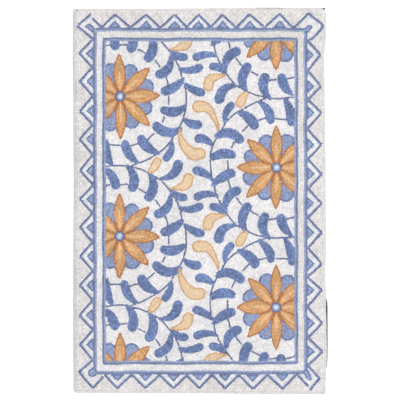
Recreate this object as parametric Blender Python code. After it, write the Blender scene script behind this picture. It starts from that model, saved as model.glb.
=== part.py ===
"""Hooked wool rug lying flat: a looped pile panel with a whipped rim, over a thin dark backing cloth.

Metres, +Z up. +Y runs along the rug's length and +X across its width. The origin is on the
surface the rug lies on, under the middle of the rug.
"""

import math

import bmesh
import bpy

MM = 0.001

# Driving sizes
WIDTH = 603 * MM
LENGTH = 922 * MM
BACKING_THICKNESS = 1.2 * MM
LAYER_GAP = 0.3 * MM
PANEL_CORNER_RADIUS = 7.0 * MM
WORN_CORNER_RADIUS = 13.0 * MM
BACKING_CORNER_RADIUS = 3.0 * MM
BACKING_INSET = 0.8 * MM
LUMP_HEIGHT = 0.35 * MM

# How finely the pile's top is divided between the two rims
COLUMNS = 16
ROWS = 24

# How finely the backing cloth's outline is divided
CORNER_STEPS = 4
SIDE_SPACING = 20 * MM

# Each edge wavers a little. Rows: place along the edge in mm from its middle, bulge outwards in mm
RIGHT_EDGE = (
    (-461, 2.0),
    (-440, 0.0),
    (-404, 2.2),
    (-357, 3.6),
    (-330, 2.6),
    (-285, 2.2),
    (-258, 1.0),
    (-237, 1.4),
    (-177, -0.3),
    (-113, 1.5),
    (38, 0.8),
    (160, -0.5),
    (260, -2.2),
    (346, -3.3),
    (408, 1.9),
    (461, 1.0),
)
LEFT_EDGE = (
    (-461, -0.6),
    (-320, 0.4),
    (-140, 0.0),
    (40, -0.9),
    (200, 0.0),
    (330, 1.3),
    (461, 1.2),
)
TOP_EDGE = ((-302, -1.9), (-118, -1.9), (-23, -0.7), (61, -0.4), (150, 1.7), (250, 0.4), (302, 0.2))
BOTTOM_EDGE = ((-302, -2.1), (-160, -1.6), (20, -0.5), (130, 1.0), (210, 1.2), (302, 2.1))

# Where the backing cloth reaches past its usual inset. Rows: mm along an edge, extra mm
TOP_REACH = ((-302, 0.0), (262, 0.0), (290, 2.6), (302, 2.8))
RIGHT_REACH = (
    (-461, 0.0),
    (-410, 0.0),
    (-390, 3.2),
    (-357, 3.0),
    (-330, 4.0),
    (-285, 4.4),
    (-258, 5.6),
    (-240, 4.6),
    (-225, 0.0),
    (461, 0.0),
)

# The rim, from the outer wall to the flat pile. Rows: mm in from the edge, mm above the underside
RIM_PROFILE = (
    (0.0, 1.4),
    (0.5, 2.9),
    (1.9, 3.9),
    (3.6, 3.5),
    (4.3, 5.0),
    (6.0, 7.0),
    (9.0, 7.5),
)

# Low unevenness of the pile's top. Rows: waves across the width, waves along the length, phase, share
LUMPS = (
    (1.5, 2.0, 0.4, 0.5),
    (3.0, -1.5, 1.9, 0.3),
    (-2.0, 4.5, 3.1, 0.2),
)

PILE_COLOUR = (0.78, 0.74, 0.69, 1.0)
BACKING_COLOUR = (0.055, 0.066, 0.065, 1.0)


def clear_scene():
    """Removes every object that is in the file."""
    for old in list(bpy.data.objects):
        bpy.data.objects.remove(old, do_unlink=True)


def read_row(rows, place):
    """The value of a two-column table at a place, both in mm, eased between its rows."""
    if place <= rows[0][0]:
        return rows[0][1]
    for (start, low), (end, high) in zip(rows, rows[1:]):
        if place <= end:
            share = (place - start) / (end - start)
            return low + (high - low) * (1 - math.cos(math.pi * share)) / 2
    return rows[-1][1]


def edge_at(side, place):
    """The distance from the middle to one edge, at a place along that edge."""
    half, rows = {
        "right": (WIDTH / 2, RIGHT_EDGE),
        "left": (WIDTH / 2, LEFT_EDGE),
        "top": (LENGTH / 2, TOP_EDGE),
        "bottom": (LENGTH / 2, BOTTOM_EDGE),
    }[side]
    return half + read_row(rows, place / MM) * MM


def round_corner(x, y):
    """Pulls a point near a corner of the plain rectangle in, so that the corner becomes round."""
    radius = WORN_CORNER_RADIUS if x > 0 and y > 0 else PANEL_CORNER_RADIUS
    a = (abs(x) - (WIDTH / 2 - radius)) / radius
    b = (abs(y) - (LENGTH / 2 - radius)) / radius
    if a <= 0 or b <= 0:
        return x, y
    across = a * math.sqrt(1 - b * b / 2)
    along = b * math.sqrt(1 - a * a / 2)
    return (
        math.copysign(WIDTH / 2 - radius + across * radius, x),
        math.copysign(LENGTH / 2 - radius + along * radius, y),
    )


def onto_outline(x, y):
    """Moves a point of the plain rectangle so that the rectangle's sides become the wavering edges."""
    right, left = edge_at("right", y), edge_at("left", y)
    top, bottom = edge_at("top", x), edge_at("bottom", x)
    across = (x / WIDTH + 0.5) * (right + left) - left
    along = (y / LENGTH + 0.5) * (top + bottom) - bottom
    return across, along


def stations(length, parts):
    """Places across the plain rectangle: the rim's rows at both sides and even steps between them."""
    insets = [inset * MM for inset, _ in RIM_PROFILE]
    first, last = -length / 2 + insets[-1], length / 2 - insets[-1]
    between = [first + (last - first) * i / parts for i in range(1, parts)]
    low = [-length / 2 + inset for inset in insets]
    return low + between + [-place for place in reversed(low)]


def rim_height(inset):
    """The rim's height above the panel's underside at a distance in from the edge."""
    inset_mm = inset / MM
    for (start, low), (end, high) in zip(RIM_PROFILE, RIM_PROFILE[1:]):
        if inset_mm <= end:
            share = max(0.0, inset_mm - start) / (end - start)
            return (low + (high - low) * share) * MM
    return RIM_PROFILE[-1][1] * MM


def lump(x, y):
    """How far the pile's top lies above or below its mean height."""
    total = 0.0
    for across, along, phase, share in LUMPS:
        total += share * math.sin(2 * math.pi * (across * x / WIDTH + along * y / LENGTH) + phase)
    return LUMP_HEIGHT * total


def pile_top(x, y):
    """The height of the panel's upper side over a point of the plain rectangle."""
    inset = min(WIDTH / 2 - abs(x), LENGTH / 2 - abs(y))
    rim_width = RIM_PROFILE[-1][0] * MM
    settled = min(1.0, max(0.0, inset / rim_width))
    return rim_height(inset) + lump(x, y) * settled**2


def principled(name, colour, roughness, sheen):
    """A plain Principled material."""
    material = bpy.data.materials.new(name)
    material.use_nodes = True
    shader = material.node_tree.nodes["Principled BSDF"]
    shader.inputs["Base Color"].default_value = colour
    shader.inputs["Roughness"].default_value = roughness
    shader.inputs["Metallic"].default_value = 0.0
    shader.inputs["Sheen Weight"].default_value = sheen
    return material


def add_object(name, form, collection, material, height):
    """Makes an object of a bmesh, shaded smooth, with its underside at a height."""
    bmesh.ops.recalc_face_normals(form, faces=form.faces)
    mesh = bpy.data.meshes.new(name)
    form.to_mesh(mesh)
    form.free()
    mesh.shade_smooth()
    mesh.set_sharp_from_angle(angle=math.radians(50))
    mesh.materials.append(material)
    made = bpy.data.objects.new(name, mesh)
    made.location.z = height
    collection.objects.link(made)
    return made


def hooked_panel(collection):
    """The pile on its foundation: one solid, with a whipped bead round the rim and a flat underside."""
    across = stations(WIDTH, COLUMNS)
    along = stations(LENGTH, ROWS)
    form = bmesh.new()
    bmesh.ops.create_grid(form, x_segments=len(across) - 1, y_segments=len(along) - 1, size=1.0)
    for vert in form.verts:
        column = round((vert.co.x + 1) / 2 * (len(across) - 1))
        row = round((vert.co.y + 1) / 2 * (len(along) - 1))
        x, y = across[column], along[row]
        height = pile_top(x, y)
        vert.co = (*onto_outline(*round_corner(x, y)), height)
    rim = [edge for edge in form.edges if edge.is_boundary]
    wall = bmesh.ops.extrude_edge_only(form, edges=rim)["geom"]
    for vert in (part for part in wall if isinstance(part, bmesh.types.BMVert)):
        vert.co.z = 0.0
    foot = [edge for edge in form.edges if edge.is_boundary]
    bmesh.ops.contextual_create(form, geom=foot)
    material = principled("wool_pile", PILE_COLOUR, 0.92, 0.35)
    return add_object("hooked_panel", form, collection, material, BACKING_THICKNESS + LAYER_GAP)


def backing_outline():
    """The backing cloth's corner points and the points between them, anticlockwise from the right."""
    half_width = WIDTH / 2 - BACKING_INSET
    half_length = LENGTH / 2 - BACKING_INSET
    radius = BACKING_CORNER_RADIUS
    points = []
    corners = ((1, 1, 0), (-1, 1, 90), (-1, -1, 180), (1, -1, 270))
    for across, along, turn in corners:
        for step in range(CORNER_STEPS + 1):
            angle = math.radians(turn + 90 * step / CORNER_STEPS)
            x = across * (half_width - radius) + radius * math.cos(angle)
            y = along * (half_length - radius) + radius * math.sin(angle)
            points.append((x, y))
    return points


def along_sides(points, spacing):
    """The outline with points added so that none of its straight runs is longer than a spacing."""
    filled = []
    for (x0, y0), (x1, y1) in zip(points, points[1:] + points[:1]):
        parts = max(1, math.ceil(math.hypot(x1 - x0, y1 - y0) / spacing))
        for i in range(parts):
            filled.append((x0 + (x1 - x0) * i / parts, y0 + (y1 - y0) * i / parts))
    return filled


def backing_cloth(collection):
    """The thin dark cloth underneath, which shows past the pile at the right edge and a corner."""
    form = bmesh.new()
    verts = []
    for x, y in along_sides(backing_outline(), SIDE_SPACING):
        placed_x, placed_y = onto_outline(x, y)
        if x > WIDTH / 4:
            placed_x += read_row(RIGHT_REACH, y / MM) * MM * (x - WIDTH / 4) / (WIDTH / 4)
        if y > LENGTH / 4:
            placed_y += read_row(TOP_REACH, x / MM) * MM * (y - LENGTH / 4) / (LENGTH / 4)
        verts.append(form.verts.new((placed_x, placed_y, 0.0)))
    face = form.faces.new(verts)
    lifted = bmesh.ops.extrude_face_region(form, geom=[face])["geom"]
    for vert in (part for part in lifted if isinstance(part, bmesh.types.BMVert)):
        vert.co.z = BACKING_THICKNESS
    material = principled("backing_cloth", BACKING_COLOUR, 0.9, 0.1)
    return add_object("backing_cloth", form, collection, material, 0.0)


def centre(objects):
    """Shifts the meshes so that their common box is centred over the origin."""
    corners = [vert.co for made in objects for vert in made.data.vertices]
    middle_x = (min(c.x for c in corners) + max(c.x for c in corners)) / 2
    middle_y = (min(c.y for c in corners) + max(c.y for c in corners)) / 2
    for made in objects:
        for vert in made.data.vertices:
            vert.co.x -= middle_x
            vert.co.y -= middle_y


def main():
    clear_scene()
    collection = bpy.data.collections.new("hooked_wool_rug")
    bpy.context.scene.collection.children.link(collection)
    centre([hooked_panel(collection), backing_cloth(collection)])


main()
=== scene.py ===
"""Hooked wool rug lying flat on a pale floor, seen from straight above.

Every loop of wool is its own small mound. The loops follow the motifs row by row, and the ground
is filled round them. Under them lies the foundation with its whipped rim, and a thin dark cloth.
"""

import math
import random

import bpy
import numpy as np
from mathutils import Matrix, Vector

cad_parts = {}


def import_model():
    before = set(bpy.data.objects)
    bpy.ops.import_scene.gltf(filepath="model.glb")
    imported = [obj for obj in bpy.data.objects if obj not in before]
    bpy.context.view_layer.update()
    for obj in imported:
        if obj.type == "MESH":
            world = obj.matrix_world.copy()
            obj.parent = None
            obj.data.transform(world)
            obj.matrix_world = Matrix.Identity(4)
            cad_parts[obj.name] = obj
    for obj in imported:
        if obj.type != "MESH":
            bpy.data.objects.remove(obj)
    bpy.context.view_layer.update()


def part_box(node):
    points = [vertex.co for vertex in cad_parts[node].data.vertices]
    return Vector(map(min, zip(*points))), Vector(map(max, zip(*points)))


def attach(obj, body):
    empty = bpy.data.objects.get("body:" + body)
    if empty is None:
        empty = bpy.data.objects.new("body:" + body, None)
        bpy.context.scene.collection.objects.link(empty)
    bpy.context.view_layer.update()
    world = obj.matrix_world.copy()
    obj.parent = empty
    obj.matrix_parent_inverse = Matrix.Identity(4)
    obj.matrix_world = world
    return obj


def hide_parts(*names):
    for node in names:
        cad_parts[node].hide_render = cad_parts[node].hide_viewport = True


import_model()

# Sizes are in mm on the plain rectangle, with x across, y along and the middle at nought
WIDTH, LENGTH = 603.0, 922.0
PILE_INSET = 4.3
CELL = 0.5

# How loops are placed: the side of a search box, the farthest that two loops can touch, the margin
# that a loop's middle keeps from the pile's edge
BUCKET = 5.5
TOUCHING = 5.2
EDGE_MARGIN = 1.9

# Wool: loop length along its row, row width
WOOL = {
    "ivory": (4.9, 4.5),
    "chalk": (4.9, 4.5),
    "blue": (4.6, 4.2),
    "stroke": (4.4, 3.3),
    "navy": (4.5, 4.2),
    "stem": (4.3, 3.3),
    "sky": (4.6, 4.2),
    "periwinkle": (4.6, 4.2),
    "tooth": (4.5, 4.1),
    "tooth_edge": (4.3, 3.3),
    "gold": (4.5, 4.1),
    "light_gold": (4.5, 4.1),
    "pale_gold": (4.4, 3.8),
    "rust": (4.3, 3.2),
    "beige": (4.6, 4.2),
    "tan": (4.3, 3.4),
}
NAMES = list(WOOL)

# The frame: two double lines of wool and the zigzag that stands on the outer one
FIELD = (-228.4, 231.4, -387.3, 385.7)
BASE = (-249.9, 253.6, -410.8, 409.2)
PEAKS = (-288.0, 294.0, -451.0, 448.0)
TEETH = {
    "top": (-203, -128, -60, -3, 55, 119, 192),
    "bottom": (-196, -129, -62, 0, 61, 128, 199),
    "left": (353, 286, 215, 148, 73, 5, -63, -133, -202, -274, -343),
    "right": (349, 274, 211, 135, 65, -6, -76, -151, -213, -292, -360),
}
TOOTH_HALF, TOOTH_RISE = 17.5, 18.5
STROKE_HALF = 2.7
GROUND = (
    FIELD,
    (BASE[0], FIELD[0], BASE[2], BASE[3]),
    (BASE[0], BASE[1], BASE[2], FIELD[2]),
)
CORNER_STROKES = (
    ((-235, 415), (-257, 438)),
    ((-260, 447), (-292, 418), (-261, 392), (-255, 388)),
    ((226, 414), (261, 448), (275, 435), (290, 425), (293, 414), (283, 402), (271, 389), (258, 382)),
    ((-230, -421), (-254, -448), (-288, -408), (-257, -381)),
    ((237, -418), (261, -443)),
    ((265, -451), (287, -424), (257, -391)),
)
CORNER_PATCHES = (
    ((-275, 418), (-263, 426), (-252, 416), (-249, 408), (-257, 403)),
    ((247, 410), (261, 421), (268, 420), (270, 415), (261, 404), (253, 400)),
    ((247, -410), (256, -425), (267, -431), (270, -425), (257, -400)),
)
CORNER_BLOB = (-256.0, -410.5, 10.6)

# One repeat of a vine, measured from its flower's middle
REPEAT = 334.0
FLOWER = (-190.0, -84.6)
TURN = (-3.0, -2.9)
LEAVES = (
    ((-37, 160), (-20.5, 143.5), (-12, 121), 3.8, 10.5, 11.2),
    ((15.5, 168), (31.5, 143), (28.5, 117), 3.8, 10.8, 11.5),
    ((70, 151), (80, 122), (69, 93), 4.3, 10.8, 11.5),
    ((121, 96), (115, 70), (94, 54), 4.8, 10.5, 11.0),
    ((152, 41), (133, 24), (108, 12), 3.8, 10.8, 10.8),
    ((155, -21), (133, -34), (106, -32), 4.3, 11.7, 9.6),
    ((142, -77), (114, -84), (88, -70), 7.6, 11.7, 11.0),
    ((92, -136), (67, -123), (52, -104), 4.3, 11.7, 11.0),
    ((41, -159), (21, -140), (12, -115), 3.8, 10.5, 9.3),
    ((-19, -163), (-31, -137), (-36, -109), 4.3, 10.8, 9.6),
    ((96, 137), (124, 146), (137, 170), 3.8, 10.0, 12.0),
    ((124, 106), (137, 97), (153, 93), 6.2, 9.1, 9.3),
    ((143, 67), (166, 63), (190, 69), 4.3, 8.1, 9.8),
    ((154, 30), (171, 16), (192, 8), 3.3, 9.1, 10.0),
    ((152, -54), (168, -66), (185, -69), 3.3, 9.6, 10.6),
    ((123, -107), (121.5, -128.5), (109.5, -147.5), 3.3, 8.1, 9.1),
)

# The pale shapes of both vines, then of the upright one and of the turned one. Rows: x, y, half-width
PALE = (
    ((74, -177, 7.0), (81, -168, 11.0), (88, -156, 11.0)),
    ((122, 113.5, 2.6), (142, 117, 7.5), (158, 124, 12.5), (163, 138, 12.8)),
)
PALE_UPRIGHT = (
    (142, -76, 2.0), (143.7, -92, 6.0), (150, -109, 9.5), (161, -126, 12.5), (176.5, -138.5, 15.0),
    (192, -137.5, 14.0),
)
PALE_TURNED = (
    (139, -90, 2.5), (141.5, -102, 5.5), (149.5, -120.5, 7.0), (159.5, -137, 9.5), (172, -145.5, 13.0),
    (187.5, -146, 14.5),
)
VINE = (
    (22, 164.5), (47, 160.5), (72, 149.5), (95, 136), (110.5, 120), (122.5, 103.5), (134, 85), (143, 66), (149, 43),
    (156, 17), (158, -10), (157, -31), (152, -50), (145, -67), (134, -86), (122, -106), (109, -121),
    (92, -135), (71, -147), (48, -158), (22, -168.5),
)
VINE_FOOT = ((-50, -168.5), (-38, -168), (-19, -166.5), (2, -165.5), (22, -168.5))
TENDRILS = (
    ((-42, 118), (-25, 123)),
    ((-5, 122), (18, 124)),
    ((43, 113), (60, 104)),
    ((84, 88), (96, 71)),
    ((110, 48), (115, 29)),
    ((116, 3), (116, -19)),
    ((107, -48), (101, -62)),
    ((82, -88), (66, -103)),
    ((42, -114), (22, -120)),
    ((2, -117), (-25, -115)),
)

# A flower: distances from its middle and half-widths
PETAL_PROFILE = (
    (11.5, 5.0), (20, 8.2), (30, 12.2), (42, 15.6), (54, 16.4), (66, 14.8), (78, 11.4), (88, 7.4),
    (95, 4.0), (98, 2.2),
)
MIDRIB = (17.0, 60.0)
BESIDE_MIDRIB = (22.0, 50.0, 3.7)
LOBE = ((34, -8), (56, -17), (73, -18.5), (82, -11.5), (85.5, 0), (82, 11.5), (73, 18.5), (56, 17), (34, 8))
BETWEEN_PETALS = 33.0
EYE_RADIUS = 12.4


def smooth_line(points, spacing=1.5):
    """A smooth line through points, as points a small spacing apart."""
    pts = np.array(points, float)
    padded = np.vstack([2 * pts[0] - pts[1], pts, 2 * pts[-1] - pts[-2]])
    out = []
    for a, b, c, d in zip(padded, padded[1:], padded[2:], padded[3:]):
        count = max(2, int(np.hypot(*(c - b)) / spacing))
        t = np.linspace(0, 1, count, endpoint=False)[:, None]
        bend, twist = 2 * a - 5 * b + 4 * c - d, 3 * b - 3 * c + d - a
        out.append(0.5 * (2 * b + (c - a) * t + bend * t**2 + twist * t**3))
    return np.vstack([*out, pts[-1:]])


def straight_line(points, spacing=1.5):
    """The straight runs between points, as points a small spacing apart."""
    pts = np.array(points, float)
    out = []
    for a, b in zip(pts, pts[1:]):
        count = max(2, int(np.hypot(*(b - a)) / spacing))
        out.append(a + (b - a) * np.linspace(0, 1, count, endpoint=False)[:, None])
    return np.vstack([*out, pts[-1:]])


def sideways(line):
    """The unit vectors that point to the left of a line."""
    tangent = np.gradient(line, axis=0)
    tangent /= np.maximum(np.hypot(tangent[:, 0], tangent[:, 1]), 1e-9)[:, None]
    return np.stack([-tangent[:, 1], tangent[:, 0]], 1)


def turn_round(middle, radius, start):
    """Half a turn clockwise round a middle, from a starting direction."""
    angles = np.linspace(start, start - math.pi, max(4, int(radius * math.pi / 1.2)))
    return middle + radius * np.stack([np.cos(angles), np.sin(angles)], 1)


class Motif:
    """A shape that is a line with a half-width at each of its points, hooked in rows along its outline."""

    def __init__(self, line, half, fill, edge=None, ribs=(), closed_start=False):
        self.line = np.asarray(line, float)
        self.half = np.broadcast_to(np.asarray(half, float), len(self.line)).copy()
        self.fill, self.edge, self.ribs, self.closed_start = fill, edge, ribs, closed_start
        self.area = 0

    def box(self):
        reach = self.half[:, None] + 1
        return (self.line - reach).min(0), (self.line + reach).max(0)

    def depth(self, x, y):
        """How far outside the outline each place is, negative inside it."""
        nearest = np.full(np.broadcast(x, y).shape, 1e9)
        for (px, py), half in zip(self.line, self.half):
            np.minimum(nearest, np.hypot(x - px, y - py) - half, out=nearest)
        return nearest

    def row(self, inset):
        """The line that runs a distance inside the outline."""
        half = self.half - inset
        runs = np.split(np.arange(len(half)), np.flatnonzero(np.diff(half > 1.2)) + 1)
        runs = [run for run in runs if half[run[0]] > 1.2 and len(run) > 2]
        if not runs:
            return None
        run = max(runs, key=len)
        left_dir, middle, half = sideways(self.line)[run], self.line[run], half[run]
        left, right = middle + left_dir * half[:, None], middle - left_dir * half[:, None]
        parts = [left]
        if run[-1] == len(self.half) - 1:
            parts.append(turn_round(middle[-1], half[-1], math.atan2(left_dir[-1, 1], left_dir[-1, 0])))
        parts.append(right[::-1])
        if self.closed_start and run[0] == 0:
            parts.append(turn_round(middle[0], half[0], math.atan2(-left_dir[0, 1], -left_dir[0, 0])))
        return np.vstack(parts)

    def rows(self):
        """Each row of loops in the shape, from the outline in, with its wool."""
        if self.half.max() <= WOOL[self.fill][1] / 2 + 0.01:
            yield self.line, self.fill
            return
        yield from self.ribs
        inset, wool = 0.0, self.edge or self.fill
        while inset + WOOL[wool][1] / 2 < self.half.max():
            line = self.row(inset + WOOL[wool][1] / 2)
            if line is not None:
                yield line, wool
            inset += WOOL[wool][1]
            wool = self.fill

    def echo(self, distance):
        """The line that runs round the outside of the shape."""
        return self.row(-distance)


class Patch(Motif):
    """A shape with straight sides, hooked in rows parallel to them."""

    def __init__(self, corners, fill, edge):
        corners = np.array(corners, float)
        turned = np.roll(corners, -1, 0)
        if np.sum(corners[:, 0] * turned[:, 1] - turned[:, 0] * corners[:, 1]) < 0:
            corners = corners[::-1]
        self.corners, self.fill, self.edge = corners, fill, edge
        self.half, self.area = np.array([99.0]), 0
        run = np.roll(corners, -1, 0) - corners
        run /= np.hypot(run[:, 0], run[:, 1])[:, None]
        self.inward = np.stack([-run[:, 1], run[:, 0]], 1)
        self.start = np.sum(self.inward * corners, 1)

    def box(self):
        return self.corners.min(0) - 1, self.corners.max(0) + 1

    def depth(self, x, y):
        sides = [start - (x * nx + y * ny) for (nx, ny), start in zip(self.inward, self.start)]
        return np.max(sides, 0)

    def row(self, inset):
        points = []
        for i in range(len(self.corners)):
            pair = np.array([self.inward[i - 1], self.inward[i]])
            points.append(np.linalg.solve(pair, np.array([self.start[i - 1], self.start[i]]) + inset))
        points = np.array(points)
        if inset > 0 and np.max(self.depth(points[:, 0], points[:, 1])) > -inset + 0.1:
            return None
        return straight_line([*points, points[0]])

    def rows(self):
        inset, wool = 0.0, self.edge
        while True:
            line = self.row(inset + WOOL[wool][1] / 2)
            if line is None:
                return
            yield line, wool
            inset += WOOL[wool][1]
            wool = self.fill


def leaf(start, middle, end, halves, fill, edge, moved, wobble):
    """A leaf that grows from its start and has a round end."""
    a, b, c = (np.array(p, float) for p in (start, middle, end))
    t = np.linspace(0, 1, 30)[:, None]
    line = a * (1 - t) ** 2 + 2 * (2 * b - (a + c) / 2) * t * (1 - t) + c * t**2
    share = np.linspace(0, 1, 30)
    h0, h1, h2 = halves
    half = h0 * (1 - share) * (1 - 2 * share) + 4 * h1 * share * (1 - share) + h2 * share * (2 * share - 1)
    return Motif(moved(line) + wobble, np.maximum(half, 1.2), fill, edge)


def flower(middle, chance):
    """Eight pointed petals over eight round lobes, round a small eye."""
    found = []
    spot = middle + np.array([[-0.01, 0], [0, 0], [0.01, 0]])
    for k in range(8):
        angle = math.radians(22.5 + 45 * k + chance.uniform(-3, 3))
        size = chance.uniform(0.97, 1.02)
        way = np.array([math.cos(angle), math.sin(angle)])
        aside = np.array([-way[1], way[0]])
        corners = [middle + (way * far + aside * off) * size for far, off in LOBE]
        found.append(Patch(corners, "periwinkle", "blue"))
    found.append(Motif(spot, BETWEEN_PETALS, "rust", closed_start=True))
    away, half = np.array(PETAL_PROFILE).T
    for k in (1, 3, 5, 7, 0, 2, 4, 6):
        angle = math.radians(45 * k + chance.uniform(-1.5, 1.5))
        stretch = 0.94 + 0.08 * abs(math.sin(angle)) + chance.uniform(-0.02, 0.02)
        reach = np.linspace(away[0], away[-1], 60)
        fullness = (1.09 - 0.19 * abs(math.sin(angle))) * chance.uniform(0.97, 1.04)
        width = np.interp(reach, away, half) * fullness
        way = np.array([math.cos(angle), math.sin(angle)])
        far = away[0] + (reach - away[0]) * stretch
        spine = middle + way * far[:, None]
        first, last = np.searchsorted(far, MIDRIB)
        begin, end = np.searchsorted(far, BESIDE_MIDRIB[:2])
        aside = np.array([-way[1], way[0]]) * BESIDE_MIDRIB[2]
        ribs = (
            (spine[first:last], "pale_gold"),
            (spine[begin:end] + aside, "light_gold"),
            (spine[begin:end] - aside, "light_gold"),
        )
        found.append(Motif(spine, width, "gold", "rust", ribs))
    found.append(Motif(spot, EYE_RADIUS, "tooth", "stem", closed_start=True))
    found.append(Motif(spot, 5.0, "ivory", closed_start=True))
    return found


def double_row(a, b, outward):
    """A straight stroke of two rows of wool, the darker one on its outer side."""
    run = np.array(b, float) - np.array(a, float)
    across = np.array([-run[1], run[0]]) / np.hypot(*run) * STROKE_HALF / 2
    if across @ np.array(outward, float) < 0:
        across = -across
    for side, wool in ((1, "stem"), (-1, "stroke")):
        yield Motif(straight_line([a, b]) + side * across, STROKE_HALF / 2, wool)


def zigzags():
    """Each side's zigzag: its way outwards, whether it is upright, its base, its feet and its tops."""
    ends = {"top": (-233, 222), "bottom": (-226, 233), "left": (388, -381), "right": (383, -394)}
    for side, peaks in TEETH.items():
        place = {"left": 0, "right": 1, "bottom": 2, "top": 3}[side]
        base, peak = BASE[place], PEAKS[place]
        way = 1 if peak > base else -1
        valleys = [ends[side][0], *((p + q) / 2 for p, q in zip(peaks, peaks[1:])), ends[side][1]]
        feet = [(v, base + way * 5.0) for v in valleys]
        tops = [(p, peak - way * STROKE_HALF) for p in peaks]
        yield way, place > 1, base, feet, tops


def zigzag_insides():
    """The ground between the zigzag and the frame, as shapes with straight sides."""
    for _, upright, base, feet, tops in zigzags():
        for before, top, after in zip(feet, tops, feet[1:]):
            corners = (before, top, after)
            yield corners if upright else [(y, x) for x, y in corners]
    yield (-250, 405), (-235, 415), (-260, 447), (-292, 418), (-255, 388)
    yield (250, 400), (226, 414), (261, 448), (293, 414), (258, 382)
    yield (-250, -405), (-230, -421), (-254, -448), (-288, -408), (-257, -381)
    yield (250, -400), (237, -418), (265, -451), (287, -424), (257, -391)


def frame_shapes():
    """The double lines, the zigzag strokes, the filled teeth and the four corners."""
    found = []
    half = WOOL["navy"][1] / 2
    for box in (FIELD, BASE):
        for offset, wool in ((half, "navy"), (-half, "sky")):
            left, right, low, high = box[0] - offset, box[1] + offset, box[2] - offset, box[3] + offset
            for ends in (
                ((left, low), (left, high)),
                ((right, low), (right, high)),
                ((left, high), (right, high)),
                ((left, low), (right, low)),
            ):
                found.append(Motif(straight_line(ends, 3), half, wool))
    for way, upright, base, feet, tops in zigzags():
        turned = (lambda x, y: (x, y)) if upright else (lambda x, y: (y, x))
        for before, top, after in zip(feet, tops, feet[1:]):
            found += double_row(turned(*before), turned(*top), turned(0, way))
            found += double_row(turned(*top), turned(*after), turned(0, way))
            p, root = top[0], base + way * 3.5
            peak = turned(p, root + way * TOOTH_RISE)
            corners = [turned(p - TOOTH_HALF, root), turned(p + TOOTH_HALF, root), peak]
            found.append(Patch(corners, "tooth", "tooth_edge"))
    for points in CORNER_STROKES:
        for a, b in zip(points, points[1:]):
            found += double_row(a, b, a)
    for corners in CORNER_PATCHES:
        found.append(Patch(corners, "tooth", "tooth_edge"))
    x, y, radius = CORNER_BLOB
    spot = [(x - 0.01, y), (x, y), (x + 0.01, y)]
    found.append(Motif(spot, radius, "tooth", "tooth_edge", closed_start=True))
    return found


def vine_shapes(chance):
    """Both vines with their leaves and flowers: stems, leaves, flowers, in the order they are hooked."""
    stems, leaves, flowers = [], [], []
    for turned in (False, True):
        for k in (-1, 0, 1, 2):
            middle = np.array([FLOWER[0], FLOWER[1] + k * REPEAT])

            def moved(points, middle=middle, turned=turned):
                placed = np.asarray(points, float) + middle
                return 2 * np.array(TURN) - placed if turned else placed

            for points in (VINE, VINE_FOOT, *TENDRILS):
                stems.append(Motif(smooth_line(moved(points)), WOOL["stem"][1] / 2, "stem"))
            for start, way, end, *halves in LEAVES:
                wobble = np.array([chance.uniform(-1.5, 1.5), chance.uniform(-1.5, 1.5)])
                leaves.append(leaf(start, way, end, halves, "blue", None, moved, wobble))
            for rows in (*PALE, PALE_TURNED if turned else PALE_UPRIGHT):
                x, y, half = np.array(rows, float).T
                spine = smooth_line(moved(np.stack([x, y], 1)))
                share = np.linspace(0, len(rows) - 1, len(spine))
                leaves.append(Motif(spine, np.interp(share, range(len(rows)), half), "beige", "tan"))
            flowers += flower(moved([(0, 0)])[0], chance)
    return stems, leaves, flowers


class Chart:
    """Which shape and which wool belongs at each place of the rug."""

    def __init__(self):
        self.nx, self.ny = int(WIDTH / CELL), int(LENGTH / CELL)
        self.area = np.zeros((self.ny, self.nx), np.int16)
        self.wool = np.full((self.ny, self.nx), NAMES.index("chalk"), np.uint8)
        self.count = 0

    def window(self, low, high):
        """The cells of a box, with the places of their middles."""
        i0, i1 = (int(np.clip((v + WIDTH / 2) / CELL, 0, self.nx)) for v in (low[0], high[0] + CELL))
        j0, j1 = (int(np.clip((v + LENGTH / 2) / CELL, 0, self.ny)) for v in (low[1], high[1] + CELL))
        x = ((np.arange(i0, i1) + 0.5) * CELL - WIDTH / 2)[None, :]
        y = ((np.arange(j0, j1) + 0.5) * CELL - LENGTH / 2)[:, None]
        return slice(j0, j1), slice(i0, i1), x, y

    def dye(self, corners):
        """Makes the ground ivory inside a shape with straight sides."""
        patch = Patch(corners, "ivory", "ivory")
        rows, columns, x, y = self.window(*patch.box())
        self.wool[rows, columns][patch.depth(x, y) < 0] = NAMES.index("ivory")

    def paint(self, shape, inside_field):
        self.count += 1
        shape.area = self.count
        rows, columns, x, y = self.window(*shape.box())
        if x.size == 0 or y.size == 0:
            return
        depth = shape.depth(x, y)
        inside = depth < 0
        if inside_field:
            inside &= (x > FIELD[0]) & (x < FIELD[1]) & (y > FIELD[2]) & (y < FIELD[3])
        self.area[rows, columns][inside] = shape.area
        self.wool[rows, columns][inside] = NAMES.index(shape.fill)
        if shape.edge:
            rim = inside & (depth > -WOOL[shape.edge][1])
            self.wool[rows, columns][rim] = NAMES.index(shape.edge)

    def at(self, x, y):
        i = min(max(int((x + WIDTH / 2) / CELL), 0), self.nx - 1)
        j = min(max(int((y + LENGTH / 2) / CELL), 0), self.ny - 1)
        return self.area[j, i], self.wool[j, i]


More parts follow.
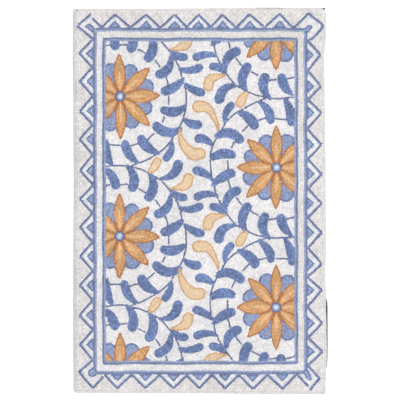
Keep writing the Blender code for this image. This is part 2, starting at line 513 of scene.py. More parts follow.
class Hooking:
    """The loops so far, each kept clear of its neighbours."""

    def __init__(self, chart):
        self.chart, self.cells, self.loops = chart, {}, []

    def clear(self, x, y, angle, long, wide, share):
        ci, cj = int(x // BUCKET), int(y // BUCKET)
        for i in (ci - 1, ci, ci + 1):
            for j in (cj - 1, cj, cj + 1):
                for ox, oy, other, olong, owide, _ in self.cells.get((i, j), ()):
                    dx, dy = x - ox, y - oy
                    away = math.hypot(dx, dy)
                    if away > TOUCHING:
                        continue
                    way = math.atan2(dy, dx)
                    u, v = math.cos(way - angle) / long, math.sin(way - angle) / wide
                    p, q = math.cos(way - other) / olong, math.sin(way - other) / owide
                    if away < share * (1 / math.hypot(u, v) + 1 / math.hypot(p, q)):
                        return False
        return True

    def hook(self, x, y, angle, wool, area, share):
        """Adds a loop if its place is inside the pile, in the right shape and free."""
        margin = PILE_INSET + EDGE_MARGIN
        if abs(x) > WIDTH / 2 - margin or abs(y) > LENGTH / 2 - margin:
            return
        here, ground = self.chart.at(x, y)
        if area is not None and here != area:
            return
        if area == 0:
            wool = NAMES[ground]
        length, width = WOOL[wool]
        if self.clear(x, y, angle, length / 2, width / 2, share):
            loop = (x, y, angle, length / 2, width / 2, wool)
            self.cells.setdefault((int(x // BUCKET), int(y // BUCKET)), []).append(loop)
            self.loops.append(loop)

    def along(self, line, wool, area, share=0.93):
        """A row of loops along a line."""
        run = np.hypot(*np.diff(line, axis=0).T)
        far = np.concatenate([[0], np.cumsum(run)])
        count = max(1, round(far[-1] / WOOL[wool][0]))
        for at in (np.arange(count) + 0.5) * far[-1] / count:
            x, y = np.interp(at, far, line[:, 0]), np.interp(at, far, line[:, 1])
            before, after = max(at - 0.8, 0), min(at + 0.8, far[-1])
            dx = np.interp(after, far, line[:, 0]) - np.interp(before, far, line[:, 0])
            dy = np.interp(after, far, line[:, 1]) - np.interp(before, far, line[:, 1])
            self.hook(x, y, math.atan2(dy, dx), wool, area, share)


def hook_rug():
    """Every loop of the rug in plan: x, y, angle, half length, half width and wool."""
    chance = random.Random(7)
    frame_parts = frame_shapes()
    stems, leaves, flowers = vine_shapes(chance)
    chart = Chart()
    for left, right, low, high in GROUND:
        chart.dye(((left, low), (right, low), (right, high), (left, high)))
    for corners in zigzag_insides():
        chart.dye(corners)
    for shape in (*stems, *leaves, *flowers):
        chart.paint(shape, True)
    for shape in frame_parts:
        chart.paint(shape, False)
    rug = Hooking(chart)
    for shape in (*frame_parts, *flowers, *leaves, *stems):
        share = 0.8 if len(shape.half) > 1 and shape.half.max() < 3 else 0.9
        for line, wool in shape.rows():
            rug.along(line, wool, shape.area, share)
    spread = WOOL["ivory"][1] / 2
    for shape in (*frame_parts, *flowers, *leaves, *stems):
        line = shape.echo(spread)
        if line is not None:
            rug.along(line, "ivory", 0)
    for k in range(3):
        inset = PILE_INSET + spread + k * 2 * spread
        x, y = WIDTH / 2 - inset, LENGTH / 2 - inset
        rug.along(straight_line([(-x, -y), (x, -y), (x, y), (-x, y), (-x, -y)], 3), "ivory", 0)
    for k in range(3):
        for side in (FIELD[0] - 8.6 - k * 4.4, FIELD[1] + 8.6 + k * 4.4):
            rug.along(straight_line([(side, BASE[2]), (side, BASE[3])], 3), "ivory", 0)
    step, pitch = WOOL["ivory"]
    for j in range(int((LENGTH - 2 * PILE_INSET) / pitch)):
        level = -LENGTH / 2 + PILE_INSET + (j + 0.5) * pitch
        x = -WIDTH / 2 + PILE_INSET + (j % 2) * step / 2 + chance.uniform(0, 1)
        while x < WIDTH / 2:
            y = level + 0.8 * math.sin(x / 37.0 + j * 0.9)
            rug.hook(x, y, 0.05, "ivory", 0, 0.93)
            x += step
    for pitch, share, hold in ((2.2, 0.86, 1.5), (1.8, 0.78, 1.1)):
        places = []
        for j in range(int(LENGTH / pitch)):
            for i in range(int(WIDTH / pitch)):
                x = (i + chance.random()) * pitch - WIDTH / 2
                places.append((x, (j + chance.random()) * pitch - LENGTH / 2))
        chance.shuffle(places)
        for x, y in places:
            area, wool = chart.at(x, y)
            around = ((hold, 0), (-hold, 0), (0, hold), (0, -hold))
            if all(chart.at(x + dx, y + dy)[0] == area for dx, dy in around):
                rug.hook(x, y, chance.uniform(-0.4, 0.4), NAMES[wool], None, share)
    return chart, rug.loops


# The rug's outline wavers. Rows: place along the edge, bulge outwards
EDGES = {
    "right": (
        (-461, 2.0), (-440, 0.0), (-404, 2.2), (-357, 3.6), (-330, 2.6), (-285, 2.2), (-258, 1.0), (-237, 1.4),
        (-177, -0.3), (-113, 1.5), (38, 0.8), (160, -0.5), (260, -2.2), (346, -3.3), (408, 1.9), (461, 1.0),
    ),
    "left": ((-461, -0.6), (-320, 0.4), (-140, 0.0), (40, -0.9), (200, 0.0), (330, 1.3), (461, 1.2)),
    "top": ((-302, -1.9), (-118, -1.9), (-23, -0.7), (61, -0.4), (150, 1.7), (250, 0.4), (302, 0.2)),
    "bottom": ((-302, -2.1), (-160, -1.6), (20, -0.5), (130, 1.0), (210, 1.2), (302, 2.1)),
}
RIGHT_REACH = (
    (-461, 0.0), (-410, 0.0), (-390, 3.2), (-357, 3.0), (-330, 4.0), (-285, 4.4), (-258, 5.6), (-240, 4.6),
    (-225, 0.0), (461, 0.0),
)
TOP_REACH = ((-302, 0.0), (262, 0.0), (290, 2.6), (302, 2.8))
WAVER_REACH = 45.0
CORNER_RADIUS, WORN_CORNER_RADIUS = 7.0, 13.0

# Heights over the floor
FOUNDATION_UNDER, FOUNDATION_TOP, PILE_TOP = 1.5, 5.4, 9.0
BACKING_TOP = 1.2

# Colours as the eye sees them, 0 to 255
COLOURS = {
    "ivory": (219, 217, 218),
    "chalk": (214, 211, 210),
    "blue": (109, 127, 168),
    "stroke": (138, 150, 184),
    "navy": (117, 130, 165),
    "stem": (95, 108, 148),
    "sky": (150, 162, 190),
    "periwinkle": (142, 156, 188),
    "tooth": (151, 165, 198),
    "tooth_edge": (112, 128, 168),
    "gold": (204, 162, 114),
    "light_gold": (212, 172, 126),
    "pale_gold": (224, 191, 150),
    "rust": (180, 122, 78),
    "beige": (220, 198, 167),
    "tan": (204, 168, 128),
    "rim": (214, 210, 209),
    # painted shadow: the colour of the dark mounds at the rim
    "thread": (66, 70, 72),
    "backing": (44, 50, 49),
}

# Painted shadow at the rim: mounds of dark wool put in the groove along the top and at three corners, where only
# shade lies: place, direction in degrees, length, width
PAINTED_SHADOW_MARKS = (
    *((138.5 + 5.9 * k, 458.2 + 0.4 * (k % 2), 4 - 3 * (k % 3), 3.4 - 0.3 * (k % 2), 1.7) for k in range(11)),
    (-291.8, 456.7, 8, 4.6, 1.8),
    (-295.8, -458.6, -48, 5.6, 1.9),
    (294.3, -458.6, 20, 4.0, 2.6),
)


def eased(rows, place):
    """The values of a two-column table at places, eased between its rows."""
    at, value = np.array(rows, float).T
    k = np.clip(np.searchsorted(at, place) - 1, 0, len(at) - 2)
    share = np.clip((place - at[k]) / (at[k + 1] - at[k]), 0, 1)
    return value[k] + (value[k + 1] - value[k]) * (1 - np.cos(np.pi * share)) / 2


def rounded(x, y, half_x=WIDTH / 2, half_y=LENGTH / 2, radius=CORNER_RADIUS, worn=WORN_CORNER_RADIUS):
    """Moves places of a rectangle so that its corners are round, one of them more than the others."""
    x, y = np.asarray(x, float), np.asarray(y, float)
    radius = np.where((x > 0) & (y > 0), worn, radius)
    a = np.clip((abs(x) - (half_x - radius)) / radius, 0, 1)
    b = np.clip((abs(y) - (half_y - radius)) / radius, 0, 1)
    cut = a * b > 0
    return (
        np.where(cut, np.sign(x) * (half_x - radius + a * np.sqrt(1 - b * b / 2) * radius), x),
        np.where(cut, np.sign(y) * (half_y - radius + b * np.sqrt(1 - a * a / 2) * radius), y),
    )


def waver(x, y):
    """Moves places as the rug's edges waver, and lets the rows within drift as hand work does."""
    still = np.clip(np.minimum(WIDTH / 2 - abs(x), LENGTH / 2 - abs(y)) / 25, 0, 1)
    drift_x = 0.6 * np.sin(y / 31 + 0.7 * np.sin(x / 47)) + 0.45 * np.sin(y / 13.7 + x / 90 + 2)
    drift_y = 0.6 * np.sin(x / 29 + 0.7 * np.sin(y / 53) + 1) + 0.45 * np.sin(x / 12.9 + y / 80)
    inwards = (WIDTH / 2 - x, WIDTH / 2 + x, LENGTH / 2 - y, LENGTH / 2 + y)
    hold = [np.clip(1 - d / WAVER_REACH, 0, 1) ** 1.5 for d in inwards]
    moved_x = x + eased(EDGES["right"], y) * hold[0] - eased(EDGES["left"], y) * hold[1] + still * drift_x
    moved_y = y + eased(EDGES["top"], x) * hold[2] - eased(EDGES["bottom"], x) * hold[3] + still * drift_y
    return moved_x, moved_y


def plan_shift():
    """How far the middle of the object's box lies from the middle of the plain rectangle."""
    low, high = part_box("hooked_panel")
    along, across = np.linspace(-LENGTH / 2, LENGTH / 2, 400), np.linspace(-WIDTH / 2, WIDTH / 2, 400)
    right = waver(np.full(400, WIDTH / 2), along)[0].max()
    left = waver(np.full(400, -WIDTH / 2), along)[0].min()
    top = waver(across, np.full(400, LENGTH / 2))[1].max()
    bottom = waver(across, np.full(400, -LENGTH / 2))[1].min()
    return (
        (low.x + high.x) * 500 - (left + right) / 2,
        (low.y + high.y) * 500 - (bottom + top) / 2,
    )


SHIFT = plan_shift()
DICE = np.random.default_rng(11)


def world(x, y, z):
    """Points of the plan as metres in the scene."""
    moved_x, moved_y = waver(x, y)
    return np.stack(np.broadcast_arrays(moved_x + SHIFT[0], moved_y + SHIFT[1], z), -1) / 1000


def make_mesh(name, points, faces, uvs, marks=()):
    """An object of points and arrays of faces. uvs and marks are named values, one for each point."""
    mesh = bpy.data.meshes.new(name)
    flat = np.concatenate([np.asarray(kind).ravel() for kind in faces])
    sizes = np.concatenate([np.full(len(kind), np.shape(kind)[1]) for kind in faces])
    mesh.vertices.add(len(points))
    mesh.vertices.foreach_set("co", np.asarray(points, np.float32).ravel())
    mesh.loops.add(len(flat))
    mesh.loops.foreach_set("vertex_index", flat.astype(np.int32))
    mesh.polygons.add(len(sizes))
    mesh.polygons.foreach_set("loop_start", np.concatenate([[0], np.cumsum(sizes)[:-1]]).astype(np.int32))
    mesh.polygons.foreach_set("use_smooth", np.ones(len(sizes), bool))
    mesh.update(calc_edges=True)
    for label, values in dict(uvs).items():
        layer = mesh.uv_layers.new(name=label)
        layer.data.foreach_set("uv", np.asarray(values, np.float32)[flat].ravel())
    for label, values in dict(marks).items():
        values = np.asarray(values, np.float32)
        kind = "FLOAT" if values.ndim == 1 else "FLOAT_COLOR"
        layer = mesh.attributes.new(label, kind, "POINT")
        layer.data.foreach_set("value" if values.ndim == 1 else "color", values.ravel())
    mesh.validate()
    made = bpy.data.objects.new(name, mesh)
    bpy.context.scene.collection.objects.link(made)
    return made


def linear(colour):
    """A colour of 0 to 255 as the linear values that a shader takes."""
    c = np.array(colour, float) / 255
    return np.where(c <= 0.04045, c / 12.92, ((c + 0.055) / 1.055) ** 2.4)


class Nodes:
    """A short way to write a material's nodes."""

    def __init__(self, name):
        self.material = bpy.data.materials.new(name)
        self.material.use_nodes = True
        self.tree = self.material.node_tree
        self.shader = self.tree.nodes["Principled BSDF"]

    def add(self, kind, inputs=(), **settings):
        node = self.tree.nodes.new(kind)
        for key, value in settings.items():
            setattr(node, key, value)
        for key, value in dict(inputs).items():
            if isinstance(value, bpy.types.NodeSocket):
                self.tree.links.new(value, node.inputs[key])
            else:
                node.inputs[key].default_value = value
        return node

    def math(self, operation, a, b=0.0):
        return self.add("ShaderNodeMath", {0: a, 1: b}, operation=operation).outputs[0]

    def feed(self, socket, value):
        self.tree.links.new(value, self.shader.inputs[socket])


def wool_material(name, colour, dark, light, mottle):
    """Matte plied wool: each loop has its own tone, with heather flecks and a faint twist, whose grooves are also
    darkened in the colour as painted shade.
    """
    n = Nodes(name)
    base = linear(colour)
    tone = n.add("ShaderNodeAttribute", attribute_name="tone").outputs["Fac"]
    place = n.add("ShaderNodeTexCoord").outputs["Object"]
    fleck = n.add("ShaderNodeTexNoise", {"Vector": place, "Scale": 900.0, "Detail": 3.0, "Roughness": 0.7})
    lot = n.add("ShaderNodeTexNoise", {"Vector": place, "Scale": 22.0, "Detail": 2.0, "Roughness": 0.6})
    mixed = n.math("ADD", n.math("MULTIPLY", tone, 0.62), n.math("MULTIPLY", fleck.outputs["Fac"], mottle))
    mixed = n.math("ADD", mixed, n.math("MULTIPLY", n.math("SUBTRACT", lot.outputs["Fac"], 0.5), 0.5))
    across = n.add("ShaderNodeUVMap", uv_map="Loop").outputs["UV"]
    twist = n.add(
        "ShaderNodeTexWave",
        {"Vector": across, "Scale": 1.0, "Distortion": 1.8, "Detail": 2.0, "Detail Scale": 2.0},
        bands_direction="DIAGONAL",
    )
    # The twist also shades the colour, darker in the grooves between the plies: painted shade.
    mixed = n.math("ADD", mixed, n.math("MULTIPLY", n.math("SUBTRACT", twist.outputs["Fac"], 0.5), 0.22))
    ramp = n.add("ShaderNodeValToRGB", {"Fac": mixed})
    ramp.color_ramp.elements[0].position, ramp.color_ramp.elements[1].position = 0.1, 0.9
    ramp.color_ramp.elements[0].color = (*np.clip(base * dark, 0, 1), 1)
    ramp.color_ramp.elements[1].color = (*np.clip(base * light, 0, 1), 1)
    middle = ramp.color_ramp.elements.new(0.5)
    middle.color = (*base, 1)
    n.feed("Base Color", ramp.outputs["Color"])
    fuzz = n.add("ShaderNodeTexNoise", {"Vector": place, "Scale": 1800.0, "Detail": 2.0})
    strands = n.math("MULTIPLY", twist.outputs["Fac"], 0.7)
    relief = n.math("ADD", strands, n.math("MULTIPLY", fuzz.outputs["Fac"], 0.5))
    bump = n.add("ShaderNodeBump", {"Height": relief, "Strength": 0.9, "Distance": 0.0006})
    n.feed("Normal", bump.outputs["Normal"])
    rough = n.add("ShaderNodeMapRange", {"Value": fuzz.outputs["Fac"], "To Min": 0.86, "To Max": 0.98})
    n.feed("Roughness", rough.outputs["Result"])
    n.shader.inputs["Sheen Weight"].default_value = 0.25
    n.shader.inputs["Sheen Roughness"].default_value = 0.5
    n.shader.inputs["Specular IOR Level"].default_value = 0.15
    return n.material


SIDES = 8


def loop_points(x, y, angle, long, wide):
    """The points of a mound for each loop: two rings and a top, with the loop's own lean and size."""
    count = len(x)
    turn = np.arange(SIDES) * 2 * np.pi / SIDES + np.pi / SIDES
    inset = np.minimum(WIDTH / 2 - abs(x), LENGTH / 2 - abs(y))
    edge = np.clip((inset - PILE_INSET) / 7.0, 0, 1)
    height = PILE_TOP - 1.5 * (1 - edge) ** 2 + DICE.normal(0, 0.28, count)
    height += 0.3 * np.sin(x / 61 + 1.1) * np.sin(y / 83 + 0.4)
    angle = angle + DICE.normal(0, 0.17, count)
    x, y = x + DICE.normal(0, 0.2, count), y + DICE.normal(0, 0.2, count)
    long = long * 1.2 * DICE.uniform(0.94, 1.08, count)
    wide = wide * 1.2 * DICE.uniform(0.94, 1.08, count)
    lean = DICE.normal(0, 0.35, (2, count))
    rings = []
    for share, level in ((1.0, 0.0), (0.74, 0.74)):
        u = share * np.cos(turn)[None, :] * long[:, None]
        v = share * np.sin(turn)[None, :] * wide[:, None]
        px = x[:, None] + u * np.cos(angle)[:, None] - v * np.sin(angle)[:, None] + lean[0][:, None] * level
        py = y[:, None] + u * np.sin(angle)[:, None] + v * np.cos(angle)[:, None] + lean[1][:, None] * level
        rise = FOUNDATION_TOP - 0.9 + (height - FOUNDATION_TOP + 0.9) * level
        rings.append(np.stack([px, py, np.broadcast_to(rise[:, None], px.shape)], -1))
    top = np.stack([x + lean[0], y + lean[1], height], -1)[:, None, :]
    points = np.concatenate([*rings, top], 1)
    ring = np.stack([np.cos(turn), np.sin(turn)], -1)
    own = np.concatenate([ring, ring * 0.74, np.zeros((1, 2))], 0) * 0.5 + 0.5
    return points, np.broadcast_to(own, (count, *own.shape))


def loop_faces(count):
    """The faces of the mounds, as four-sided and three-sided ones."""
    k = np.arange(SIDES)
    after = (k + 1) % SIDES
    sides = np.stack([k, after, after + SIDES, k + SIDES], -1)
    cap = np.stack([k + SIDES, after + SIDES, np.full(SIDES, 2 * SIDES)], -1)
    first = (np.arange(count) * (2 * SIDES + 1))[:, None, None]
    return (sides[None] + first).reshape(-1, 4), (cap[None] + first).reshape(-1, 3)


def flat_map(points):
    """Where points lie on a map of the rug seen from above."""
    return np.stack([(points[:, 0] + 0.33) / 0.96, (points[:, 1] + 0.478) / 0.96], -1)


def painted_left_shade(x):
    """Painted shade: how much darker the wool is made near the rug's left edge, the side away from the lamp."""
    return 0.5 * np.clip((-290 - x) / 7, 0, 1)


def pile_piece(name, wool, loops, lift=0.0):
    """All the loops of one wool, as one piece."""
    x, y, angle, long, wide = (np.array([loop[i] for loop in loops]) for i in range(5))
    points, own = loop_points(x, y, angle, long, wide)
    count, each = points.shape[:2]
    placed = world(*rounded(points[..., 0], points[..., 1]), points[..., 2] + lift).reshape(-1, 3)
    quads, triangles = loop_faces(count)
    # The loops' tone is darkened near the left edge by painted shade.
    tone = np.clip(DICE.normal(0.5, 0.22, count) - painted_left_shade(x), 0, 1).repeat(each)
    made = make_mesh(
        name, placed, [quads, triangles],
        {"OFBake": flat_map(placed), "Loop": own.reshape(-1, 2)}, {"tone": tone},
    )
    made.data.materials.append(WOOLS[wool])
    return made


def slab(name, nx, ny, half_x, half_y, radius, low, heights, reach, material, colours=None):
    """A closed sheet over the plan: a fine upper side, short walls and a flat underside."""
    across, along = np.linspace(-half_x, half_x, nx + 1), np.linspace(-half_y, half_y, ny + 1)
    x, y = (v.ravel() for v in np.meshgrid(across, along))
    x, y = rounded(x, y, half_x, half_y, *radius)
    dx, dy = reach(x, y)
    top = world(x + dx, y + dy, heights(x, y))
    index = np.arange(len(x)).reshape(ny + 1, nx + 1)
    upper = np.stack([index[:-1, :-1], index[:-1, 1:], index[1:, 1:], index[1:, :-1]], -1).reshape(-1, 4)
    rim = np.concatenate([index[0, :-1], index[:-1, -1], index[-1, :0:-1], index[:0:-1, 0]])
    foot = top[rim].copy()
    foot[:, 2] = low / 1000
    first = len(top)
    low_index = first + np.arange(len(rim))
    after = np.roll(np.arange(len(rim)), -1)
    walls = np.stack([rim, low_index, low_index[after], rim[after]], -1)
    middle = first + len(rim)
    under = np.stack([low_index[after], low_index, np.full(len(rim), middle)], -1)
    centre = np.array([[top[:, 0].mean(), top[:, 1].mean(), low / 1000]])
    points = np.concatenate([top, foot, centre])
    uv = flat_map(points)
    uv[first:] = uv[first:] * 0.28 + (0.71, 0.0)
    marks = {}
    if colours is not None:
        shades = colours(x, y)
        marks["shade"] = np.concatenate([shades, shades[rim], [[0.8, 0.76, 0.7, 1.0]]])
    made = make_mesh(name, points, [upper, walls, under], {"OFBake": uv}, marks)
    made.data.materials.append(material)
    return made


def foundation(chart):
    """The foundation cloth and the foot of the pile, dyed by the wool that is hooked into it."""
    n = Nodes("pile_foot")
    shade = n.add("ShaderNodeAttribute", attribute_name="shade").outputs["Color"]
    place = n.add("ShaderNodeTexCoord").outputs["Object"]
    fleck = n.add("ShaderNodeTexNoise", {"Vector": place, "Scale": 700.0, "Detail": 3.0})
    dark = n.add("ShaderNodeMapRange", {"Value": fleck.outputs["Fac"], "To Min": 0.7, "To Max": 1.0})
    mixed = n.add("ShaderNodeVectorMath", {0: shade, "Scale": dark.outputs["Result"]}, operation="SCALE")
    n.feed("Base Color", mixed.outputs["Vector"])
    bump = n.add("ShaderNodeBump", {"Height": fleck.outputs["Fac"], "Strength": 0.6, "Distance": 0.001})
    n.feed("Normal", bump.outputs["Normal"])
    n.shader.inputs["Roughness"].default_value = 0.96
    n.shader.inputs["Specular IOR Level"].default_value = 0.1
    palette = np.array([[*linear(COLOURS[wool]), 1.0] for wool in NAMES])

    def heights(x, y):
        inset = np.minimum(WIDTH / 2 - abs(x), LENGTH / 2 - abs(y))
        rise = np.interp(inset, (0, 0.6, 1.9, 3.4, 4.2, 8), (2.6, 4.0, 5.4, 5.6, 5.4, FOUNDATION_TOP))
        return rise + 0.25 * np.sin(x / 2.3) * np.sin(y / 2.6) * (inset > 5)

    def colours(x, y):
        i = np.clip(((x + WIDTH / 2) / CELL).astype(int), 0, chart.nx - 1)
        j = np.clip(((y + LENGTH / 2) / CELL).astype(int), 0, chart.ny - 1)
        return palette[chart.wool[j, i]]

    return slab(
        "foundation", 150, 230, WIDTH / 2, LENGTH / 2, (CORNER_RADIUS, WORN_CORNER_RADIUS), FOUNDATION_UNDER,
        heights, lambda x, y: (0, 0), n.material, colours,
    )


def backing():
    """The thin dark cloth underneath, in a plain weave, which shows past the pile at the right."""
    n = Nodes("backing_weave")
    place = n.add("ShaderNodeTexCoord").outputs["Object"]
    bands = []
    for way in ("X", "Y"):
        wave = n.add(
            "ShaderNodeTexWave",
            {"Vector": place, "Scale": 260.0, "Distortion": 0.6, "Detail": 1.0},
            bands_direction=way,
        )
        bands.append(wave.outputs["Fac"])
    weave = n.math("MAXIMUM", *bands)
    slub = n.add("ShaderNodeTexNoise", {"Vector": place, "Scale": 160.0, "Detail": 4.0})
    mixed = n.math("ADD", n.math("MULTIPLY", weave, 0.55), n.math("MULTIPLY", slub.outputs["Fac"], 0.45))
    ramp = n.add("ShaderNodeValToRGB", {"Fac": mixed})
    base = linear(COLOURS["backing"])
    ramp.color_ramp.elements[0].position, ramp.color_ramp.elements[1].position = 0.2, 0.85
    ramp.color_ramp.elements[0].color = (*(base * 0.6), 1)
    ramp.color_ramp.elements[1].color = (*(base * 1.5), 1)
    n.feed("Base Color", ramp.outputs["Color"])
    bump = n.add("ShaderNodeBump", {"Height": weave, "Strength": 0.5, "Distance": 0.0004})
    n.feed("Normal", bump.outputs["Normal"])
    n.shader.inputs["Roughness"].default_value = 0.93

    def heights(x, y):
        return BACKING_TOP - 0.08 + 0.08 * np.sin(x / 9.0) * np.sin(y / 11.0)

    def reach(x, y):
        right = np.clip((x - WIDTH / 4) / (WIDTH / 4), 0, 1)
        top = np.clip((y - LENGTH / 4) / (LENGTH / 4), 0, 1)
        return eased(RIGHT_REACH, y) * right, eased(TOP_REACH, x) * top

    return slab(
        "backing_weave", 48, 72, WIDTH / 2 - 0.8, LENGTH / 2 - 0.8, (3.0, 3.0), 0.0, heights, reach, n.material,
    )


def outline(spacing):
    """Places along the rug's outline with their outward directions, a spacing apart."""
    x, y = WIDTH / 2, LENGTH / 2
    path = []
    for sx, sy, turn in ((1, 1, 0), (-1, 1, 90), (-1, -1, 180), (1, -1, 270)):
        r = WORN_CORNER_RADIUS if sx + sy == 2 else CORNER_RADIUS
        for step in range(9):
            angle = math.radians(turn + 90 * step / 8)
            path.append((sx * (x - r) + r * math.cos(angle), sy * (y - r) + r * math.sin(angle)))
    path = straight_line([*path, path[0]], 0.7)
    far = np.concatenate([[0], np.cumsum(np.hypot(*np.diff(path, axis=0).T))])
    at = np.arange(0, far[-1], spacing)
    beyond = (at + 1) % far[-1]
    place = np.stack([np.interp(at, far, path[:, 0]), np.interp(at, far, path[:, 1])], 1)
    ahead = np.stack([np.interp(beyond, far, path[:, 0]), np.interp(beyond, far, path[:, 1])], 1)
    way = ahead - place
    way /= np.hypot(way[:, 0], way[:, 1])[:, None]
    return place, np.stack([way[:, 1], -way[:, 0]], 1), way, at


# A whipping stitch, from the groove over the bead to the underside. Rows: inwards from the edge, height
STITCH = ((4.8, 6.1), (3.6, 6.7), (2.2, 6.6), (0.8, 5.6), (0.05, 4.1), (0.1, 2.7), (1.0, 1.75))

# The rim's map is cut into this many strips
MAP_STRIPS = 8


def whipped_rim():
    """Wool wound closely round the rug's edge, stitch beside stitch."""
    place, out, way, far = outline(2.7)
    count, steps, round_steps = len(place), len(STITCH), 5
    inward, rise = np.array(STITCH).T
    slant = np.linspace(0.9, -0.9, steps)
    line = place[:, None, :] - out[:, None, :] * inward[None, :, None]
    line = line + way[:, None, :] * slant[None, :, None]
    line = np.concatenate([line, np.broadcast_to(rise[None, :, None], (count, steps, 1))], -1)
    line += DICE.normal(0, 0.12, (count, 1, 3))
    tangent = np.gradient(np.stack([-inward, rise], 1), axis=0)
    tangent /= np.hypot(tangent[:, 0], tangent[:, 1])[:, None]
    normal = np.stack([tangent[:, 1], -tangent[:, 0]], 1)
    normal *= np.sign(normal[2, 1])
    turn = np.linspace(0, 2 * np.pi, round_steps, endpoint=False) + np.pi / 2
    thick, broad = 0.75, 1.55 * DICE.uniform(0.92, 1.08, count)
    up = np.cos(turn - np.pi / 2) * thick
    side = np.sin(turn - np.pi / 2)[None, :] * broad[:, None]
    ring_out = normal[:, 0][None, :, None] * up[None, None, :]
    ring_up = normal[:, 1][None, :, None] * up[None, None, :]
    points = np.empty((count, steps, round_steps, 3))
    for axis in (0, 1):
        bulge = out[:, None, None, axis] * ring_out
        spread = way[:, None, None, axis] * side[:, None, :]
        points[..., axis] = line[..., None, axis] + bulge + spread
    points[..., 2] = np.maximum(line[..., None, 2] + ring_up, FOUNDATION_UNDER + 0.02)
    shift_x, shift_y = waver(line[:, 2, 0], line[:, 2, 1])
    points[..., 0] += (shift_x - line[:, 2, 0])[:, None, None]
    points[..., 1] += (shift_y - line[:, 2, 1])[:, None, None]
    placed = (points + (SHIFT[0], SHIFT[1], 0)).reshape(-1, 3) / 1000
    i, j = (v.ravel() for v in np.meshgrid(range(steps - 1), range(round_steps)))
    k = (j + 1) % round_steps
    faces = np.stack(
        [i * round_steps + j, i * round_steps + k, (i + 1) * round_steps + k, (i + 1) * round_steps + j], -1
    )
    ends = np.array([range(round_steps), [(steps - 1) * round_steps + v for v in range(round_steps)][::-1]])
    first = (np.arange(count) * steps * round_steps)[:, None, None]
    strip = np.floor(far / far[-1] * MAP_STRIPS).clip(0, MAP_STRIPS - 1)
    u = (far / far[-1] * MAP_STRIPS - strip)[:, None, None] * 0.98
    v = (strip[:, None, None] + (np.arange(steps) / steps)[None, :, None] * 0.9) / MAP_STRIPS
    u = u + (np.arange(round_steps) / round_steps * 0.0012)[None, None, :] * MAP_STRIPS
    uv = np.stack(np.broadcast_arrays(u, v), -1)
    round_share = (np.arange(round_steps) / round_steps)[None, None, :]
    along_share = (np.arange(steps) / steps * 2)[None, :, None]
    own = np.stack(np.broadcast_arrays(round_share, along_share), -1)
    uv = np.broadcast_to(uv, (count, steps, round_steps, 2)).reshape(-1, 2)
    own = np.broadcast_to(own, (count, steps, round_steps, 2)).reshape(-1, 2)
    # The rim's tone is darkened near the left edge by painted shade.
    tone = np.clip(DICE.normal(0.5, 0.16, count) - painted_left_shade(place[:, 0]), 0, 1)
    sides, caps = (faces[None] + first).reshape(-1, 4), (ends[None] + first).reshape(-1, round_steps)
    marks = {"tone": tone.repeat(steps * round_steps)}
    made = make_mesh("whipped_rim", placed, [sides, caps], {"OFBake": uv, "Loop": own}, marks)
    made.data.materials.append(WOOLS["rim"])
    return made


# How much darker and lighter than its colour each wool gets
TONES = {
    "ivory": (0.78, 1.2),
    "chalk": (0.76, 1.22),
    "rim": (0.8, 1.14),
    # painted shadow: the tones of the dark mounds at the rim
    "thread": (0.6, 1.5),
    "blue": (0.48, 1.75),
    "stroke": (0.65, 1.4),
    "navy": (0.62, 1.4),
    "stem": (0.65, 1.35),
    "sky": (0.72, 1.3),
    "periwinkle": (0.68, 1.38),
    "tooth": (0.7, 1.3),
    "tooth_edge": (0.65, 1.35),
    "gold": (0.68, 1.4),
    "light_gold": (0.72, 1.32),
    "pale_gold": (0.82, 1.18),
    "rust": (0.75, 1.3),
    "beige": (0.82, 1.16),
    "tan": (0.78, 1.25),
}
MOTTLE = 0.38
WOOLS = {}
for wool, (dark, light) in TONES.items():
    WOOLS[wool] = wool_material(wool + "_wool", COLOURS[wool], dark, light, MOTTLE)

chart, loops = hook_rug()
groups = {}
for loop in loops:
    x, y, wool = loop[0], loop[1], loop[5]
    half = "upper" if y > 0 else "lower"
    part = half if wool in ("ivory", "chalk") else "motifs"
    groups.setdefault((wool, part), []).append(loop)
pile = [pile_piece(f"{wool}_{part}", wool, found) for (wool, part), found in groups.items()]
rim = whipped_rim()
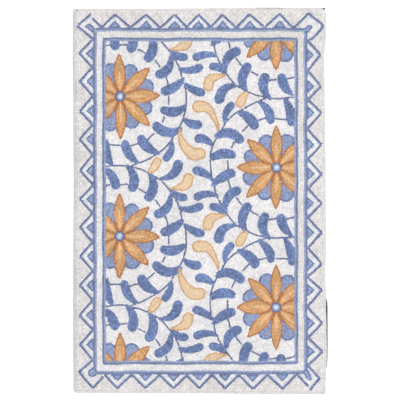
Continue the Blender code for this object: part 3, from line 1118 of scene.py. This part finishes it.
# Dark mounds of wool that stand in for shadow at the rim: painted shadow.
dark = [(x, y, math.radians(turn), long / 2, wide / 2, "thread") for x, y, turn, long, wide in PAINTED_SHADOW_MARKS]
shadow_marks = pile_piece("painted_shadow_marks", "thread", dark, 0.5)
cloth = foundation(chart)
under = backing()

for piece in (*pile, rim, cloth):
    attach(piece, "root")
for piece in (under, shadow_marks):
    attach(piece, "root")
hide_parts("hooked_panel")
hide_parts("backing_cloth")


def pale_floor():
    """A plain white floor under the rug."""
    mesh = bpy.data.meshes.new("floor")
    mesh.from_pydata([(-4, -4, 0), (4, -4, 0), (4, 4, 0), (-4, 4, 0)], [], [(0, 1, 2, 3)])
    made = bpy.data.objects.new("floor", mesh)
    bpy.context.scene.collection.objects.link(made)
    made.location.z = -0.0006
    n = Nodes("floor_white")
    n.shader.inputs["Base Color"].default_value = (0.93, 0.93, 0.93, 1)
    n.shader.inputs["Roughness"].default_value = 0.9
    n.shader.inputs["Specular IOR Level"].default_value = 0.0
    mesh.materials.append(n.material)


def area_light(name, place, aim, size, power):
    """A broad soft light that points at a place."""
    data = bpy.data.lights.new(name, "AREA")
    data.shape, data.size, data.energy = "SQUARE", size, power
    lamp = bpy.data.objects.new(name, data)
    bpy.context.scene.collection.objects.link(lamp)
    lamp.location = place
    lamp.rotation_euler = (Vector(aim) - Vector(place)).to_track_quat("-Z", "Y").to_euler()


pale_floor()
area_light("overhead", place=(0.7, -0.1, 2.6), aim=(0.1, 0, 0), size=1.6, power=47)
area_light("fill", place=(-1.4, 0.8, 2.6), aim=(0, 0, 0), size=2.2, power=25)
sky = bpy.data.worlds.new("studio")
bpy.context.scene.world = sky
sky.use_nodes = True
sky.node_tree.nodes["Background"].inputs["Color"].default_value = (1.0, 1.0, 1.0, 1)
sky.node_tree.nodes["Background"].inputs["Strength"].default_value = 0.75

view = bpy.data.cameras.new("overhead_camera")
view.lens, view.sensor_width = 85, 36
camera = bpy.data.objects.new("overhead_camera", view)
bpy.context.scene.collection.objects.link(camera)
camera.location = ((1.3 + SHIFT[0]) / 1000, (1.9 + SHIFT[1]) / 1000, 0.0085 + 2.257)
bpy.context.scene.camera = camera
bpy.context.scene.view_settings.view_transform = "Standard"
